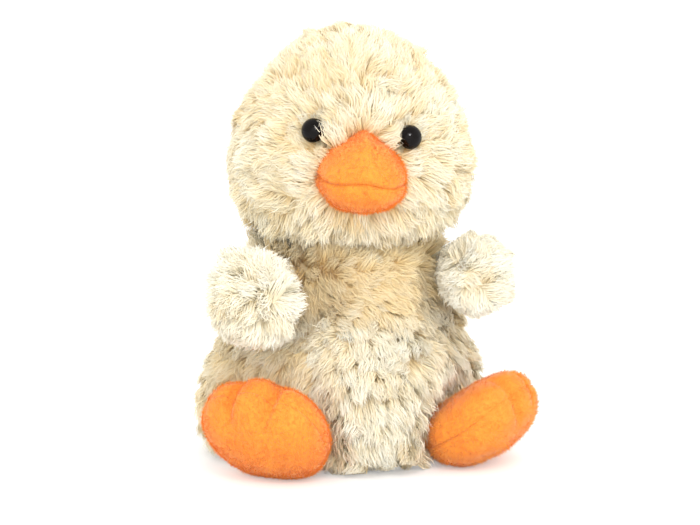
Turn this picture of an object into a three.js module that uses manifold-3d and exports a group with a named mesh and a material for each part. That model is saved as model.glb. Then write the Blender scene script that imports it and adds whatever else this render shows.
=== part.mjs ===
// A small plush duckling that sits on a weighted seat, built as it is sewn: panels of pile
// fabric over wads of stuffing, with a soft beak, bead eyes, two wings, two feet and a tail.
// Lengths are millimetres and angles degrees. +Z is up and the duck faces -Y, so its own
// left is +X. The origin is the middle of the flat seat.

import * as THREE from 'three';
import { mergeVertices } from 'three/addons/utils/BufferGeometryUtils.js';
import Module from 'manifold-3d';

const wasm = await Module();
wasm.setup();

// Fabrics and clearances
const longPile = 7; // depth of the cream pile with its backing, on head and torso
const wingPile = 5.5; // the same cloth, pulled tighter round the wings
const shortPile = 2; // the orange plush of beak and feet
const seamGap = 0.3; // between two panels that are sewn edge to edge
const fitGap = 0.3; // between a wad of stuffing and the cloth round it
const pivotGap = 0.6; // round a limb's root, so that it can swing
const seatFlat = 0.5; // depth that the weight presses flat on the floor

// Locks in which the long pile hangs on head and torso
const lockDepth = 2.4; // of the pile's dips below the ends of the locks
const lockFadeHeight = 12; // above the base's seam, over which they grow to full depth
const lockCrowding = 20; // distance from a form's axis within which they flatten out
const lockGrooveShare = 0.5; // of the depth, for the grooves between columns of locks
const lockStagger = 2; // columns until two locks end at one height again
const lockFacets = [2, 3]; // across and along each lock

// Torso: a pear that is fullest low down
const torsoHeight = 82;
const torsoHalfWidth = 51.5;
const torsoFrontDepth = 47;
const torsoBackDepth = 46;
const baseSeamHeight = 6;
const sideSeamDegrees = 62; // from the middle of the front
const torsoOutlineShares = [
  // radius, height
  [0, 0], [0.52, 0.001], [0.86, 0.035], [0.99, 0.14], [0.99, 0.29],
  [0.91, 0.44], [0.77, 0.62], [0.71, 0.8], [0.6, 0.91], [0.32, 0.985], [0, 1],
];

// Hollows of the torso in which the feet lie
const legHollowDepth = 19;
const legHollowDegrees = 29;
const legHollowHeight = 13;
const legHollowReach = 20;

// Hollows of the torso beside which the wings lie
const wingHollowDepth = 11.5;
const wingHollowDrop = 24; // of their middle below the torso's top
const wingHollowReach = 19;
const wingHollowMiddleDegrees = 50; // from the middle of the front
const wingHollowDegrees = 24;

// Neck: a plug of wadding on which the head turns and nods
const neckDrop = 3; // of the neck below the torso's top
const neckShift = 1.8; // of the neck towards the duck's left
const neckPlugRadius = 17;
const headNodDegrees = 8;
const neckSlackDegrees = 2;

// Head: a gumdrop, narrower at the crown
const headHalfWidth = 40.2;
const headHalfDepth = 38.5;
const headHalfHeight = 36;
const headCentreHeight = 32.5; // above the neck
const headLean = 3; // forward of the neck
const headTurnDegrees = -12;
const headTaperShare = 0.24;
const headFullnessShare = 2.3;
const gussetHalfWidth = 13;
const faceDegrees = 45; // to either side of the beak, where the pile is short and smooth
const faceReach = 22; // and as far above and below the eyes

// Eyes: a bead with a shank that a washer locks behind the cloth
const eyeRadius = 4.1;
const eyeDomeHeight = 3.6;
const eyeHeight = 36.2; // above the neck
const eyeDrop = 1.3; // the left eye sits this much lower, and the right one higher
const eyeDegrees = 25;
const eyeSink = 1.6; // of the bead's back below the pile's surface
const eyeOpeningFlare = 1.8; // by which the pile opens round the bead
const eyeOpeningRise = 7.2; // over which it opens
const shankRadius = 1.6;
const shankLength = 9.5;
const washerRadius = 5.5;
const washerThickness = 1.6;

// Beak: a soft rounded triangle in two panels with the mouth as its seam
const beakHalfWidth = 14.8;
const beakHalfHeight = 13.8;
const beakReach = 20; // from its root to its tip
const beakProud = 11.5; // of the pile on the face
const beakHeight = 23.6; // above the neck
const beakMouthDrop = 1.3; // of the mouth below the beak's middle
const beakLipSetback = 0.8;
const beakRollDegrees = 3.5;
const beakDroopDegrees = 4;
const beakFullnessShare = 2.5;
const beakOutlineShares = [
  // across, up: the beak's right half, from its top to its bottom
  [0, 0.98], [0.22, 0.86], [0.7, 0.5], [0.97, 0.12], [0.95, -0.32], [0.66, -0.78], [0.26, -0.93], [0, -0.95],
];

// Wings: pads that swell from a narrow root at the duck's side and point forward
const wingLength = 36;
const wingHalfHeight = 14;
const wingHalfThickness = 13;
const wingRootRadius = 10;
const wingRootDrop = 19; // of the root below the torso's top
const wingRootProud = 5.5; // of the pivot outside the torso's surface
const wingRootDegrees = 74.5; // from the middle of the front
const wingTurnDegrees = -7; // from straight ahead towards the duck's left
const leftWingDroopDegrees = -5;
const rightWingDroopDegrees = 6;
const wingRootShares = [0.72, -0.68]; // of the root's radius, where its round end turns
const wingOutlineShares = [
  // radius, distance out from the root, whose round end comes before these
  [0.73, 0.12], [0.86, 0.28], [0.97, 0.48], [1, 0.66], [0.88, 0.84], [0.54, 0.965], [0, 1],
];

// Feet: webbed pads with three toes, tipped up on their heels
const footHalfLength = 20.5;
const footHalfWidth = 21.5;
const footHalfThickness = 12;
const footCurl = 3; // of toes and heel towards the instep
const footDegrees = 47.5;
const footProud = 1.7; // of a foot's middle past the torso's widest outline
const leftFootTiltDegrees = 34;
const rightFootTiltDegrees = 45;
const heelPivotSetback = 11; // of the swing's axis behind the foot's middle
const heelPivotRise = 1.5; // of that axis above the seam, towards the instep
const heelPocketRadius = 11.6;
const heelPocketHalfWidth = 20;
const footFullnessShare = 2.5;
const toeNotchShare = 0.34; // of the half width, from the middle to each notch
const toePinchShare = 0.26;
const toePinchStartShare = 0.35; // of the half length, forward of the middle
const toePinchWidthShare = 0.13;
const footOutlineShares = [
  // across, forward: the left half, from the middle toe to the heel
  [0, 1], [0.2, 0.95], [0.34, 0.8], [0.5, 0.87], [0.78, 0.76], [0.97, 0.42],
  [0.98, 0], [0.84, -0.46], [0.48, -0.88], [0, -1],
];

// Tail: a short stub in the middle of the back
const tailLength = 24;
const tailHalfWidth = 12;
const tailHalfThickness = 7;
const tailHeight = 24;
const tailSink = 9; // of its root inside the torso's surface
const tailRiseDegrees = 28;
const tailFullnessShare = 2;

// Pellet bag: the weight in the seat
const bagRadius = 21.5;
const bagHeight = 17;
const bagOutlineShares = [[0, 0], [0.7, 0.01], [0.97, 0.3], [0.9, 0.68], [0.5, 0.95], [0, 1]];

// Facets: points round a form and rings from pole to pole
const facetCounts = {
  torso: [52, 30], torsoInside: [20, 11], head: [40, 27], headInside: [18, 9], neck: [18, 10],
  pocket: [14, 8], wing: [16, 11], wingInside: [10, 8], foot: [34, 9], footInside: [20, 6],
  beak: [24, 8], beakInside: [16, 6], tail: [12, 7], bag: [16, 6], eye: [12, 4],
};

const overrun = 2 * torsoHeight; // reach of the cutters past everything
const nudgeShare = 0.001; // step for a surface's slope
const searchShares = [0.1, 0.9]; // of the climb, between which a height is looked for
const searchHalvings = 30;
const quarterShare = 0.25; // of a turn
const seamStations = 8; // along a foot's curled seam
const weldShare = 0.00001; // of the overrun, for points that are one
const up = new THREE.Vector3(0, 0, 1);
const forward = new THREE.Vector3(0, -1, 0);
const radians = THREE.MathUtils.degToRad;

// Colours and finishes
const creamPile = new THREE.MeshStandardMaterial({ color: 0xf6ecc8, roughness: 0.95 });
const orangePlush = new THREE.MeshStandardMaterial({ color: 0xf9a546, roughness: 0.85 });
const blackGloss = new THREE.MeshStandardMaterial({ color: 0x0b0909, roughness: 0.08 });
const washerPlastic = new THREE.MeshStandardMaterial({ color: 0xe9e7e0, roughness: 0.5 });
const whiteWadding = new THREE.MeshStandardMaterial({ color: 0xf7f6f2, roughness: 1 });
const bagCotton = new THREE.MeshStandardMaterial({ color: 0xddd3bd, roughness: 0.9 });

// Solids

function toSolid(geometry) {
  const bare = geometry.clone();
  bare.deleteAttribute('normal');
  bare.deleteAttribute('uv');
  const welded = mergeVertices(bare, overrun * weldShare);
  const corners = welded.index.array;
  const triangles = [];
  for (let at = 0; at < corners.length; at += 3) {
    const [a, b, c] = corners.slice(at, at + 3);
    if (a !== b && b !== c && c !== a) triangles.push(a, b, c);
  }
  const mesh = new wasm.Mesh({
    numProp: 3,
    vertProperties: new Float32Array(welded.attributes.position.array),
    triVerts: new Uint32Array(triangles),
  });
  mesh.merge();
  return new wasm.Manifold(mesh);
}

function toGeometry(solid) {
  const mesh = solid.getMesh();
  const points = new Float32Array(mesh.vertProperties);
  const geometry = new THREE.BufferGeometry();
  geometry.setAttribute('position', new THREE.BufferAttribute(points, 3));
  geometry.setIndex(new THREE.BufferAttribute(new Uint32Array(mesh.triVerts), 1));
  geometry.computeVertexNormals();
  return geometry;
}

// A closed skin over a surface given by its turn round an axis and its climb along it, moved
// inward by an inset, or outward by a negative one, and by its dip at each place.
function skin(surface, axis, [around, rings], inset = 0, dip = () => 0) {
  const spot = (turn, climb) => {
    const across = surface(turn + nudgeShare, climb).sub(surface(turn - nudgeShare, climb));
    const along = surface(turn, climb + nudgeShare).sub(surface(turn, climb - nudgeShare));
    const depth = inset + dip(turn, climb);
    return surface(turn, climb).addScaledVector(across.cross(along).normalize(), -depth);
  };
  const points = [surface(0, 0).addScaledVector(axis, inset)];
  for (let ring = 1; ring < rings; ring++) {
    for (let step = 0; step < around; step++) points.push(spot(step / around, ring / rings));
  }
  points.push(surface(0, 1).addScaledVector(axis, -inset));
  const top = points.length - 1;
  const at = (ring, step) => 1 + (ring - 1) * around + (step % around);
  const faces = [];
  for (let step = 0; step < around; step++) {
    faces.push(at(1, step), 0, at(1, step + 1));
    for (let ring = 1; ring < rings - 1; ring++) {
      faces.push(at(ring, step), at(ring, step + 1), at(ring + 1, step + 1));
      faces.push(at(ring, step), at(ring + 1, step + 1), at(ring + 1, step));
    }
    faces.push(at(rings - 1, step), at(rings - 1, step + 1), top);
  }
  const geometry = new THREE.BufferGeometry().setFromPoints(points);
  geometry.setIndex(faces);
  return geometry;
}

// A solid turned round the forward axis from its outline of radius and distance forward.
function turned(outline, around) {
  const points = outline.map(([radius, reach]) => new THREE.Vector2(radius, reach));
  return new THREE.LatheGeometry(points, around).rotateZ(Math.PI);
}

// All space on the far side of a plane that faces away from it.
function halfSpace(facing, distance) {
  const box = new THREE.BoxGeometry(overrun, overrun, overrun).translate(0, 0, overrun / 2);
  const turn = new THREE.Quaternion().setFromUnitVectors(up, facing.clone().normalize());
  const place = facing.clone().normalize().multiplyScalar(distance);
  return toSolid(box.applyQuaternion(turn).translate(place.x, place.y, place.z));
}

function ball(radius, centre, [around, rings]) {
  return toSolid(new THREE.SphereGeometry(radius, around, rings).rotateX(Math.PI / 2)
    .translate(centre.x, centre.y, centre.z));
}

const cut = (solid, ...tools) => tools.reduce((left, tool) => left.subtract(tool), solid);
const keep = (solid, ...tools) => tools.reduce((left, tool) => left.intersect(tool), solid);

// A smooth curve through the shares of an outline.
const curveThrough = (shares) => new THREE.SplineCurve(shares.map(([a, b]) => new THREE.Vector2(a, b)));

// A closed, symmetrical curve from the shares of its one half.
function loopThrough(halfShares) {
  const inner = halfShares.slice(1, -1);
  const mirrored = inner.map(([across, along]) => [-across, along]).reverse();
  const points = [...halfShares, ...mirrored].map(([a, b]) => new THREE.Vector3(a, b, 0));
  return new THREE.CatmullRomCurve3(points, true, 'catmullrom', 0.5);
}

// Full at its middle and gone at its edge, with a flat top.
const bump = (share) => Math.exp(-(Math.abs(share) ** 4));

// A pad's rounded edge: share of the outline and of the thickness at a climb from 0 to 1.
function padEdge(climb, fullness) {
  const angle = Math.PI * (climb - 0.5);
  const out = Math.max(Math.cos(angle), 0) ** (2 / fullness);
  const rise = Math.sign(angle) * Math.abs(Math.sin(angle)) ** (2 / fullness);
  return [out, rise];
}

// Surfaces of the forms

// Degrees from the middle of the front to a turn round a form.
function fromFront(turn) {
  const angle = 2 * Math.PI * turn;
  return THREE.MathUtils.radToDeg(Math.abs(Math.atan2(Math.cos(angle), -Math.sin(angle))));
}

// How much of its full depth a leg's hollow has at a place on the torso.
const legHollow = (turn, height) => bump((fromFront(turn) - footDegrees) / legHollowDegrees)
  * bump((height - legHollowHeight) / legHollowReach);

const torsoCurve = curveThrough(torsoOutlineShares);

function torsoSurface(turn, climb) {
  const { x: girth, y: level } = torsoCurve.getPoint(THREE.MathUtils.clamp(climb, 0, 1));
  const angle = 2 * Math.PI * turn;
  const height = level * torsoHeight - seatFlat;
  const depth = Math.sin(angle) < 0 ? torsoFrontDepth : torsoBackDepth;
  const wings = bump((fromFront(turn) - wingHollowMiddleDegrees) / wingHollowDegrees)
    * bump((height - torsoHeight + wingHollowDrop) / wingHollowReach);
  const hollow = legHollowDepth * legHollow(turn, height) + wingHollowDepth * wings;
  const round = girth * (1 - girth * hollow / torsoHalfWidth);
  return new THREE.Vector3(
    torsoHalfWidth * round * Math.cos(angle), depth * round * Math.sin(angle), height,
  );
}

function headSurface(turn, climb) {
  const level = -Math.cos(Math.PI * climb);
  const round = Math.max(1 - Math.abs(level) ** headFullnessShare, 0) ** (1 / headFullnessShare);
  const girth = round * (1 - headTaperShare * level);
  const angle = 2 * Math.PI * turn;
  return new THREE.Vector3(
    headHalfWidth * girth * Math.cos(angle),
    headHalfDepth * girth * Math.sin(angle) - headLean,
    headCentreHeight + headHalfHeight * level,
  );
}

// How far the pile dips below a surface. Its locks hang in columns: each is full at its end
// and sinks towards its root, which lies under the end of the lock above.
function lockDips(surface, [around, rings], fade) {
  const columns = around / lockFacets[0];
  const rows = rings / lockFacets[1];
  return (turn, climb) => {
    const point = surface(turn, climb);
    const column = Math.round(turn * columns);
    const aside = 2 * (turn * columns - column);
    const sunk = THREE.MathUtils.euclideanModulo(climb * rows + column / lockStagger, 1);
    const dip = 1 - (1 - sunk) * (1 - lockGrooveShare * aside ** 2);
    const spread = THREE.MathUtils.smoothstep(Math.hypot(point.x, point.y), 0, lockCrowding);
    return lockDepth * dip * spread * fade(turn, point.z);
  };
}

// The pile lies flat near the seat and under the feet, and short round the eyes and the beak.
const torsoDips = lockDips(torsoSurface, facetCounts.torso, (turn, height) => (
  THREE.MathUtils.smoothstep(height, baseSeamHeight, baseSeamHeight + lockFadeHeight)
    * (1 - legHollow(turn, height))
));
const headDips = lockDips(headSurface, facetCounts.head, (turn, height) => (
  1 - bump(fromFront(turn) / faceDegrees) * bump((height - eyeHeight) / faceReach)
));

const wingCurve = curveThrough([
  [0, -wingRootRadius / wingLength],
  [wingRootShares[0] * wingRootRadius / wingHalfHeight, wingRootShares[1] * wingRootRadius / wingLength],
  [wingRootRadius / wingHalfHeight, 0],
  ...wingOutlineShares,
]);

function wingSurface(turn, climb) {
  const { x: girth, y: reach } = wingCurve.getPoint(THREE.MathUtils.clamp(climb, 0, 1));
  const angle = 2 * Math.PI * turn;
  return new THREE.Vector3(
    wingHalfThickness * girth * Math.cos(angle),
    -wingLength * reach,
    wingHalfHeight * girth * Math.sin(angle),
  );
}

const footLoop = loopThrough(footOutlineShares);

function footSurface(turn, climb) {
  const [out, rise] = padEdge(climb, footFullnessShare);
  const rim = footLoop.getPoint(THREE.MathUtils.euclideanModulo(turn, 1));
  const across = rim.x * out;
  const along = rim.y * out;
  const toes = THREE.MathUtils.smoothstep(along, toePinchStartShare, 1);
  const crease = Math.exp(-(((Math.abs(across) - toeNotchShare) / toePinchWidthShare) ** 2));
  const plump = 1 - toePinchShare * toes * crease;
  return new THREE.Vector3(
    footHalfWidth * across,
    -footHalfLength * along,
    footHalfThickness * rise * plump + footCurl * along ** 2,
  );
}

const beakLoop = loopThrough(beakOutlineShares);

// The beak's tip is its pole, and its root lies behind the face.
function beakSurface(turn, climb, setback = 0) {
  const [out, rise] = padEdge(climb, beakFullnessShare);
  const rim = beakLoop.getPoint(THREE.MathUtils.euclideanModulo(quarterShare - turn, 1));
  return new THREE.Vector3(
    beakHalfWidth * rim.x * out,
    -(beakReach - setback) * rise,
    beakHalfHeight * rim.y * out,
  );
}

function tailSurface(turn, climb) {
  const [out, rise] = padEdge(climb, tailFullnessShare);
  const angle = 2 * Math.PI * turn;
  return new THREE.Vector3(
    tailHalfWidth * out * Math.cos(angle),
    -tailLength * (rise + 1) / 2,
    tailHalfThickness * out * Math.sin(angle),
  );
}

const bagCurve = curveThrough(bagOutlineShares);

function bagSurface(turn, climb) {
  const { x: girth, y: level } = bagCurve.getPoint(THREE.MathUtils.clamp(climb, 0, 1));
  const angle = 2 * Math.PI * turn;
  const floor = longPile - seatFlat + fitGap;
  return new THREE.Vector3(
    bagRadius * girth * Math.cos(angle), bagRadius * girth * Math.sin(angle), floor + bagHeight * level,
  );
}

// Where a level line at an angle from the front leaves a surface, and which way that faces.
function onSurface(surface, degrees, height) {
  const turn = (degrees - 90) / 360;
  let [low, high] = searchShares;
  for (let halving = 0; halving < searchHalvings; halving++) {
    const middle = (low + high) / 2;
    if (surface(turn, middle).z < height) low = middle;
    else high = middle;
  }
  const across = surface(turn + nudgeShare, low).sub(surface(turn - nudgeShare, low));
  const along = surface(turn, low + nudgeShare).sub(surface(turn, low - nudgeShare));
  return { point: surface(turn, low), facing: across.cross(along).normalize() };
}

// Groups: each limb is modelled facing -Y with +Z up, then tilted and turned into place

const duck = new THREE.Group();

function limbGroup(parent, place, turnDegrees, tiltDegrees) {
  const group = new THREE.Group();
  group.position.copy(place);
  group.rotation.set(radians(-tiltDegrees), 0, radians(turnDegrees), 'ZXY');
  parent.add(group);
  group.updateWorldMatrix(true, false);
  return group;
}

function addPiece(group, name, solid, material) {
  const mesh = new THREE.Mesh(toGeometry(solid), material);
  mesh.name = name;
  group.add(mesh);
}

// A local shape as a solid in the duck's own frame, and the floor as a solid in a limb's.
const inDuck = (group, geometry) => toSolid(geometry.applyMatrix4(group.matrixWorld));

function floorFor(group) {
  const slab = new THREE.BoxGeometry(overrun, overrun, overrun).translate(0, 0, -overrun / 2);
  return toSolid(slab.applyMatrix4(group.matrixWorld.clone().invert()));
}

const sides = [['left', 1], ['right', -1]];
const neck = new THREE.Vector3(neckShift, 0, torsoHeight - neckDrop);

function wingGroup(side, droopDegrees) {
  const angle = radians(side * wingRootDegrees);
  const { point } = onSurface(torsoSurface, side * wingRootDegrees, torsoHeight - wingRootDrop);
  const out = new THREE.Vector3(Math.sin(angle), -Math.cos(angle), 0);
  return limbGroup(duck, point.addScaledVector(out, wingRootProud), wingTurnDegrees, -droopDegrees);
}

function footGroup(side, tiltDegrees) {
  const lowest = skin(footSurface, up, facetCounts.foot).rotateX(radians(-tiltDegrees));
  lowest.computeBoundingBox();
  const sine = Math.sin(radians(footDegrees));
  const cosine = Math.cos(radians(footDegrees));
  const distance = 1 / Math.hypot(sine / torsoHalfWidth, cosine / torsoFrontDepth) + footProud;
  const place = new THREE.Vector3(
    side * distance * sine,
    -distance * cosine,
    -lowest.boundingBox.min.z - seatFlat,
  );
  return limbGroup(duck, place, side * footDegrees, tiltDegrees);
}

const wings = [wingGroup(1, leftWingDroopDegrees), wingGroup(-1, rightWingDroopDegrees)];
const feet = [footGroup(1, leftFootTiltDegrees), footGroup(-1, rightFootTiltDegrees)];
const tailSeat = onSurface(torsoSurface, 180, tailHeight);
const tail = limbGroup(
  duck, tailSeat.point.clone().add(new THREE.Vector3(0, -tailSink, 0)), 180, tailRiseDegrees,
);
const head = limbGroup(duck, neck, headTurnDegrees, 0);

// Torso: four panels, the wadding and the pellet bag

function neckGap() {
  const slope = Math.tan(radians(headNodDegrees + neckSlackDegrees));
  const outline = [[0, 0], [overrun, -overrun * slope], [overrun, overrun], [0, overrun]];
  const cone = turned(outline, facetCounts.neck[0]).rotateX(-Math.PI / 2);
  return toSolid(cone.translate(neck.x, neck.y, neck.z));
}

function heelPocket(group) {
  const [around, rings] = facetCounts.pocket;
  const pocket = new THREE.SphereGeometry(1, around, rings).rotateZ(Math.PI / 2)
    .scale(heelPocketHalfWidth, heelPocketRadius, heelPocketRadius)
    .translate(0, heelPivotSetback, heelPivotRise);
  return inDuck(group, pocket);
}

function wingPocket(group) {
  return ball(wingRootRadius + pivotGap, group.position, facetCounts.pocket);
}

function buildTorso() {
  const pockets = [
    halfSpace(up.clone().negate(), 0), neckGap(), ball(neckPlugRadius + pivotGap, neck, facetCounts.neck),
    ...wings.map(wingPocket), ...feet.map(heelPocket),
  ];
  const outside = toSolid(skin(torsoSurface, up, facetCounts.torso, 0, torsoDips));
  const inside = toSolid(skin(torsoSurface, up, facetCounts.torsoInside, longPile));
  const cloth = cut(outside, inside, ...pockets);
  const walls = keep(cloth, halfSpace(up, baseSeamHeight + seamGap / 2));
  const seamFacing = (side, sign) => new THREE.Vector3(
    -side * sign * Math.cos(radians(sideSeamDegrees)), -sign * Math.sin(radians(sideSeamDegrees)), 0,
  );
  const front = sides.map(([, side]) => halfSpace(seamFacing(side, 1), seamGap / 2));
  addPiece(duck, 'torso_front_panel', keep(walls, ...front), creamPile);
  for (const [name, side] of sides) {
    const behindSeam = halfSpace(seamFacing(side, -1), seamGap / 2);
    const ownSide = halfSpace(new THREE.Vector3(side, 0, 0), seamGap / 2);
    addPiece(duck, `torso_back_${name}`, keep(walls, behindSeam, ownSide), creamPile);
  }
  const base = keep(cloth, halfSpace(up.clone().negate(), seamGap / 2 - baseSeamHeight));
  addPiece(duck, 'torso_base', base, creamPile);

  const wadding = toSolid(skin(torsoSurface, up, facetCounts.torsoInside, longPile + fitGap));
  const bagRoom = toSolid(skin(bagSurface, up, facetCounts.bag, -fitGap));
  addPiece(duck, 'torso_stuffing', cut(wadding, bagRoom, ...pockets), whiteWadding);
  addPiece(duck, 'pellet_bag', toSolid(skin(bagSurface, up, facetCounts.bag)), bagCotton);
  addPiece(duck, 'neck_stuffing', ball(neckPlugRadius, neck, facetCounts.neck), whiteWadding);
}

// Tail: an upper and a lower panel, cut where they meet the torso

function buildTail() {
  const torso = skin(torsoSurface, up, facetCounts.torso, -fitGap, torsoDips);
  const body = toSolid(torso.applyMatrix4(tail.matrixWorld.clone().invert()));
  const stub = cut(toSolid(skin(tailSurface, forward, facetCounts.tail)), body);
  addPiece(tail, 'tail_upper', keep(stub, halfSpace(up, seamGap / 2)), creamPile);
  addPiece(tail, 'tail_lower', keep(stub, halfSpace(up.clone().negate(), seamGap / 2)), creamPile);
}

// Wings: two panels over a wad, with the seam round the edge

function buildWing(name, side, group) {
  const outside = toSolid(skin(wingSurface, forward, facetCounts.wing));
  const inside = toSolid(skin(wingSurface, forward, facetCounts.wingInside, wingPile));
  const cloth = cut(outside, inside);
  const half = (facing) => halfSpace(new THREE.Vector3(facing, 0, 0), seamGap / 2);
  addPiece(group, `${name}_wing_outer`, keep(cloth, half(side)), creamPile);
  addPiece(group, `${name}_wing_inner`, keep(cloth, half(-side)), creamPile);
  const wadding = skin(wingSurface, forward, facetCounts.wingInside, wingPile + fitGap);
  addPiece(group, `${name}_wing_stuffing`, toSolid(wadding), whiteWadding);
}

// Feet: an upper and a sole sewn round the edge, over a wad

function buildFoot(name, group) {
  const floor = floorFor(group);
  const outside = toSolid(skin(footSurface, up, facetCounts.foot));
  const inside = toSolid(skin(footSurface, up, facetCounts.footInside, shortPile));
  const cloth = cut(outside, inside, floor);
  addPiece(group, `${name}_foot_upper`, keep(cloth, footSeam(1)), orangePlush);
  addPiece(group, `${name}_foot_sole`, keep(cloth, footSeam(-1)), orangePlush);
  const wadding = skin(footSurface, up, facetCounts.footInside, shortPile + fitGap);
  addPiece(group, `${name}_foot_stuffing`, cut(toSolid(wadding), floor), whiteWadding);
}

// The space above or below the curled surface in which a foot's seam lies.
function footSeam(facing) {
  const end = footCurl + facing * seamGap / 2;
  const shape = new THREE.Shape().moveTo(-overrun, end);
  for (let station = 0; station <= seamStations; station++) {
    const along = 2 * (station / seamStations) - 1;
    shape.lineTo(footHalfLength * along, footCurl * along ** 2 + facing * seamGap / 2);
  }
  shape.lineTo(overrun, end);
  shape.lineTo(overrun, facing * overrun);
  shape.lineTo(-overrun, facing * overrun);
  const block = new THREE.ExtrudeGeometry(shape, { depth: overrun, bevelEnabled: false })
    .translate(0, 0, -overrun / 2).rotateX(Math.PI / 2).rotateZ(Math.PI / 2);
  return toSolid(block);
}

// Head: two sides and a centre gusset, the wadding, the eyes and the beak

function headPoint(degrees, height) {
  return onSurface(headSurface, degrees, height);
}

function eyeGroup(side) {
  const { point, facing } = headPoint(side * eyeDegrees, eyeHeight - side * eyeDrop);
  const turnDegrees = THREE.MathUtils.radToDeg(Math.atan2(facing.x, -facing.y));
  const tiltDegrees = THREE.MathUtils.radToDeg(Math.asin(facing.z));
  return limbGroup(head, point.addScaledVector(facing, -eyeSink), turnDegrees, tiltDegrees);
}

function beadOutline(grow) {
  const dome = [];
  const steps = facetCounts.eye[1];
  for (let step = 0; step <= steps; step++) {
    const angle = (step / steps) * Math.PI / 2;
    dome.push([(eyeRadius + grow) * Math.cos(angle), (eyeDomeHeight + grow) * Math.sin(angle)]);
  }
  const collar = eyeRadius / 2;
  return [
    [0, -shankLength - grow], [shankRadius + grow, -shankLength - grow], [shankRadius + grow, -collar],
    ...dome.slice(0, -1), [0, eyeDomeHeight + grow],
  ];
}

function buildEye(name, group) {
  const around = facetCounts.eye[0];
  const bead = turned(beadOutline(0), around);
  const back = longPile - eyeSink + fitGap; // of the washer's face behind the bead's back
  const hole = shankRadius + fitGap;
  const washer = (grow, bore) => turned([
    [bore, -back - washerThickness - grow], [washerRadius + grow, -back - washerThickness - grow],
    [washerRadius + grow, -back + grow], [bore, -back + grow], [bore, -back - washerThickness - grow],
  ], around);
  const disc = turned([
    [0, -back - washerThickness - fitGap], [washerRadius + fitGap, -back - washerThickness - fitGap],
    [washerRadius + fitGap, -back + fitGap], [0, -back + fitGap],
  ], around);
  addPiece(group, `${name}_eye`, toSolid(bead), blackGloss);
  addPiece(group, `${name}_eye_washer`, toSolid(washer(0, hole)), washerPlastic);
  const inHead = (geometry) => toSolid(geometry.applyMatrix4(group.matrix));
  const edge = eyeRadius + fitGap;
  const opening = turned([
    [0, 0], [edge, 0], [edge + eyeOpeningFlare, eyeOpeningRise], [0, eyeOpeningRise],
  ], around);
  return { bead: inHead(turned(beadOutline(fitGap), around)), opening: inHead(opening), lock: inHead(disc) };
}

function beakGroup() {
  const { point } = headPoint(0, beakHeight);
  const place = point.clone();
  place.y += beakReach - beakProud;
  const group = limbGroup(head, place, 0, -beakDroopDegrees);
  group.rotation.y = radians(beakRollDegrees);
  group.updateMatrix();
  group.updateWorldMatrix(true, false);
  return group;
}

function buildBeak(group) {
  const lip = (turn, climb) => beakSurface(turn, climb, beakLipSetback);
  const root = skin(headSurface, up, facetCounts.headInside, longPile);
  const headInside = toSolid(root.applyMatrix4(group.matrix.clone().invert()));
  const panel = (surface, facing) => {
    const outside = toSolid(skin(surface, forward, facetCounts.beak));
    const inside = toSolid(skin(surface, forward, facetCounts.beakInside, shortPile));
    const mouth = halfSpace(up.clone().multiplyScalar(facing), seamGap / 2 - facing * beakMouthDrop);
    return keep(cut(outside, inside, headInside, behindFace()), mouth);
  };
  addPiece(group, 'beak_upper', panel(beakSurface, 1), orangePlush);
  addPiece(group, 'beak_lower', panel(lip, -1), orangePlush);
  const wadding = toSolid(skin(lip, forward, facetCounts.beakInside, shortPile + fitGap));
  addPiece(group, 'beak_stuffing', cut(wadding, headInside, behindFace()), whiteWadding);
  return toSolid(skin(beakSurface, forward, facetCounts.beak, -fitGap).applyMatrix4(group.matrix));
}

// What lies behind the beak's widest section, which is the plane of its root.
const behindFace = () => halfSpace(forward.clone().negate(), 0);

function buildHead() {
  const eyes = sides.map(([name, side]) => buildEye(name, eyeGroup(side)));
  const beakRoom = buildBeak(beakGroup());
  const neckSocket = ball(neckPlugRadius + pivotGap, new THREE.Vector3(), facetCounts.neck);
  const underside = halfSpace(up.clone().negate(), 0);
  const outside = toSolid(skin(headSurface, up, facetCounts.head, 0, headDips));
  const inside = toSolid(skin(headSurface, up, facetCounts.headInside, longPile));
  const cloth = cut(
    outside, inside, neckSocket, underside, beakRoom,
    ...eyes.flatMap(({ bead, opening, lock }) => [bead, opening, lock]),
  );
  const gussetRoom = (slack) => {
    const above = new THREE.Vector3(0, beakHeight, headHalfDepth);
    return keep(
      halfSpace(above, -slack), halfSpace(new THREE.Vector3(1, 0, 0), -gussetHalfWidth - slack),
      halfSpace(new THREE.Vector3(-1, 0, 0), -gussetHalfWidth - slack),
    );
  };
  addPiece(head, 'head_centre_gusset', keep(cloth, gussetRoom(0)), creamPile);
  for (const [name, side] of sides) {
    const half = keep(cloth, halfSpace(new THREE.Vector3(side, 0, 0), seamGap / 2));
    addPiece(head, `head_side_${name}`, cut(half, gussetRoom(seamGap)), creamPile);
  }
  const wadding = toSolid(skin(headSurface, up, facetCounts.headInside, longPile + fitGap));
  const rooms = eyes.flatMap(({ bead, lock }) => [bead, lock]);
  addPiece(head, 'head_stuffing', cut(wadding, neckSocket, underside, ...rooms), whiteWadding);
}

buildTorso();
buildTail();
sides.forEach(([name, side], index) => buildWing(name, side, wings[index]));
sides.forEach(([name], index) => buildFoot(name, feet[index]));
buildHead();

export default duck;
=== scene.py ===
"""The looks of a small plush duckling: shaggy cream pile on head, body and wings, short orange
plush on beak and feet, and two glossy bead eyes, all on the fixed frame that the CAD gives.
Lengths are metres, +Z is up and the duckling faces -Y, so its own left is +X."""

import itertools
import math

import bpy
import bmesh
import numpy as np
from mathutils import Matrix, Vector
from mathutils.bvhtree import BVHTree


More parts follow.
